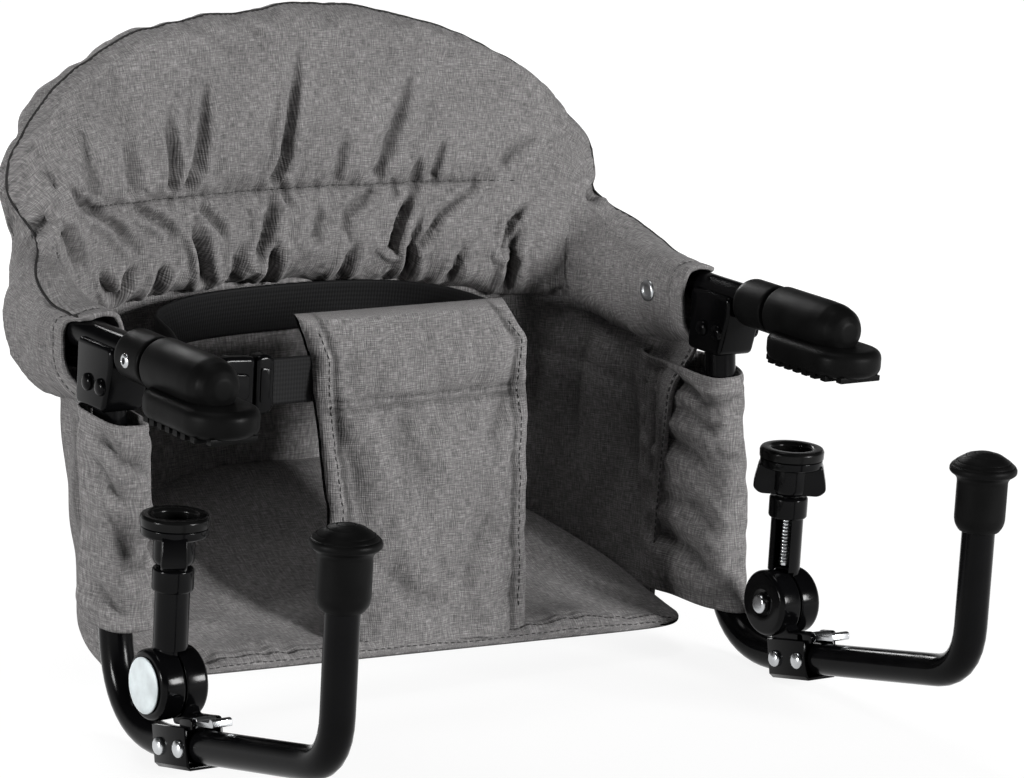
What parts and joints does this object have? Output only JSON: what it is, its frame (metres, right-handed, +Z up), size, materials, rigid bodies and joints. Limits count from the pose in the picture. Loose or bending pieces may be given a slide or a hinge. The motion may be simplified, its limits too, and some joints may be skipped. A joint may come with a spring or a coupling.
{
  "type": "hook-on table chair",
  "caption": "Child's chair that hooks onto a table edge: steel tube frame, padded grey fabric seat with a waist belt, arm pads above and screw clamps below.",
  "frame": {"origin": "midway between the two arms, on the plane of the table top under their pads", "axes": "+X to the viewer's right seen from the front, +Y to the back of the chair, +Z up"},
  "size_m": [0.442, 0.4349, 0.356],
  "materials": {
    "black_steel": "gloss black powder coat",
    "black_plastic": "gloss black moulding",
    "rubber": "matt black rubber",
    "soft_grip": "soft-touch black grip",
    "zinc": "bright zinc plate",
    "pale_cap": "pale moulded cap",
    "grey_cloth": "melange grey plain weave",
    "webbing": "black polyester webbing",
    "plywood": "thin plywood"
  },
  "bodies": {
    "chair_frame": {"upper_frame_tube": "black_steel", "back_panel": "grey_cloth", "seat_cushion": "grey_cloth", "seat_board": "plywood", "back_cushion": "grey_cloth", "crotch_panel": "grey_cloth", "waist_belt": "webbing", "buckle_socket": "black_plastic", "left_hook_tube": "black_steel", "left_hook_plug": "rubber", "left_arm_grip": "soft_grip", "left_arm_pad": "rubber", "left_grip_screw": "zinc", "left_arm_bracket": "black_steel", "left_arm_bolt_front": "zinc", "left_arm_bolt_rear": "zinc", "left_clamp_bracket": "black_steel", "left_bracket_bolt_front": "zinc", "left_bracket_bolt_rear": "zinc", "left_hinge_base": "black_plastic", "left_arm_sleeve": "grey_cloth", "left_leg_sleeve": "grey_cloth", "left_sleeve_snap": "zinc", "left_hinge_pin": "zinc", "left_side_panel": "grey_cloth", "right_hook_tube": "black_steel", "right_hook_plug": "rubber", "right_arm_grip": "soft_grip", "right_arm_pad": "rubber", "right_grip_screw": "zinc", "right_arm_bracket": "black_steel", "right_arm_bolt_front": "zinc", "right_arm_bolt_rear": "zinc", "right_clamp_bracket": "black_steel", "right_bracket_bolt_front": "zinc", "right_bracket_bolt_rear": "zinc", "right_hinge_base": "black_plastic", "right_arm_sleeve": "grey_cloth", "right_leg_sleeve": "grey_cloth", "right_sleeve_snap": "zinc", "right_hinge_pin": "zinc", "right_side_panel": "grey_cloth"},
    "left_clamp_post": {"left_clamp_post": "black_plastic", "left_hinge_cap": "pale_cap", "left_screw_nut": "zinc"},
    "left_pressure_pad": {"left_pressure_ring": "rubber"},
    "left_knob_screw": {"left_knob": "black_plastic", "left_clamp_screw": "zinc"},
    "left_lever": {"left_release_lever": "zinc"},
    "right_clamp_post": {"right_clamp_post": "black_plastic", "right_hinge_cap": "pale_cap", "right_screw_nut": "zinc"},
    "right_pressure_pad": {"right_pressure_ring": "rubber"},
    "right_knob_screw": {"right_knob": "black_plastic", "right_clamp_screw": "zinc"},
    "right_lever": {"right_release_lever": "zinc"},
    "buckle_half": {"buckle_tongue": "black_plastic", "buckle_strap": "webbing"}
  },
  "joints": [
    {"name": "left_clamp_fold", "type": "hinge", "parent": "chair_frame", "child": "left_clamp_post", "pos_m": [-0.2, 0.03, -0.14], "axis": [1, 0, 0], "range_deg": [0, 75]},
    {"name": "left_screw_rise", "type": "slide", "parent": "left_clamp_post", "child": "left_pressure_pad", "axis": [0, 0, 1], "range_m": [0, 0.034]},
    {"name": "left_knob_turn", "type": "hinge", "parent": "left_pressure_pad", "child": "left_knob_screw", "pos_m": [-0.2, 0.03, -0.06], "axis": [0, 0, 1], "range_deg": [0, 9795]},
    {"name": "left_lever_lift", "type": "hinge", "parent": "chair_frame", "child": "left_lever", "pos_m": [-0.2, -0.00789, -0.15073], "axis": [-1, 0, 0], "range_deg": [0, 10], "stiffness_Nm_per_rad": 0.08, "springref_deg": -5.73},
    {"name": "right_clamp_fold", "type": "hinge", "parent": "chair_frame", "child": "right_clamp_post", "pos_m": [0.2, 0.03, -0.14], "axis": [1, 0, 0], "range_deg": [0, 75]},
    {"name": "right_screw_rise", "type": "slide", "parent": "right_clamp_post", "child": "right_pressure_pad", "axis": [0, 0, 1], "range_m": [0, 0.034]},
    {"name": "right_knob_turn", "type": "hinge", "parent": "right_pressure_pad", "child": "right_knob_screw", "pos_m": [0.2, 0.03, -0.06], "axis": [0, 0, 1], "range_deg": [0, 9795]},
    {"name": "right_lever_lift", "type": "hinge", "parent": "chair_frame", "child": "right_lever", "pos_m": [0.2, -0.00789, -0.15073], "axis": [-1, 0, 0], "range_deg": [0, 10], "stiffness_Nm_per_rad": 0.08, "springref_deg": -5.73},
    {"name": "buckle_release", "type": "slide", "parent": "chair_frame", "child": "buckle_half", "axis": [1, 0, 0], "range_m": [0, 0.018]}
  ],
  "couplings": [
    {"joint": "left_knob_turn", "follows": "left_screw_rise", "rad_per_m": 5026.5},
    {"joint": "right_knob_turn", "follows": "right_screw_rise", "rad_per_m": 5026.5}
  ]
}
